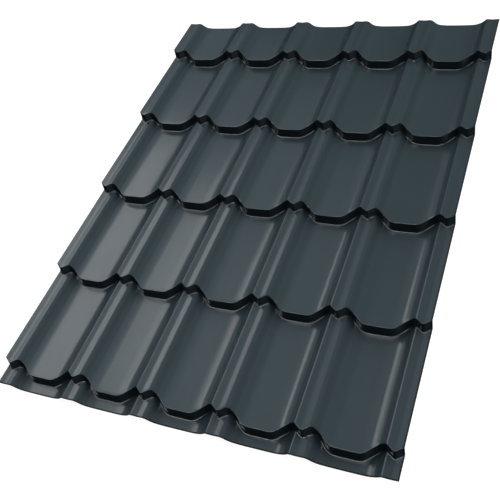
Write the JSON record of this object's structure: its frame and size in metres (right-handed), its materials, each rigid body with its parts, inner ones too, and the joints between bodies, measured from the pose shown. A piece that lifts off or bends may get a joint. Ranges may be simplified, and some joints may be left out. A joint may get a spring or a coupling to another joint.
{
  "type": "tile effect metal roofing sheet",
  "caption": "Pressed steel roofing sheet with rounded ribs and scalloped steps that give the look of overlapping roof tiles.",
  "frame": {"origin": "on the ground under the middle of the sheet's box, with the sheet lying on its pans", "axes": "+X across the roof along the tile rows, +Y up the roof slope towards the ridge, +Z away from the roof"},
  "size_m": [1.229, 1.6546, 0.0532],
  "materials": {
    "coated_steel": "satin anthracite polyester coating on zinc coated steel"
  },
  "bodies": {
    "root": {"tile_sheet": "coated_steel"}
  },
  "joints": []
}
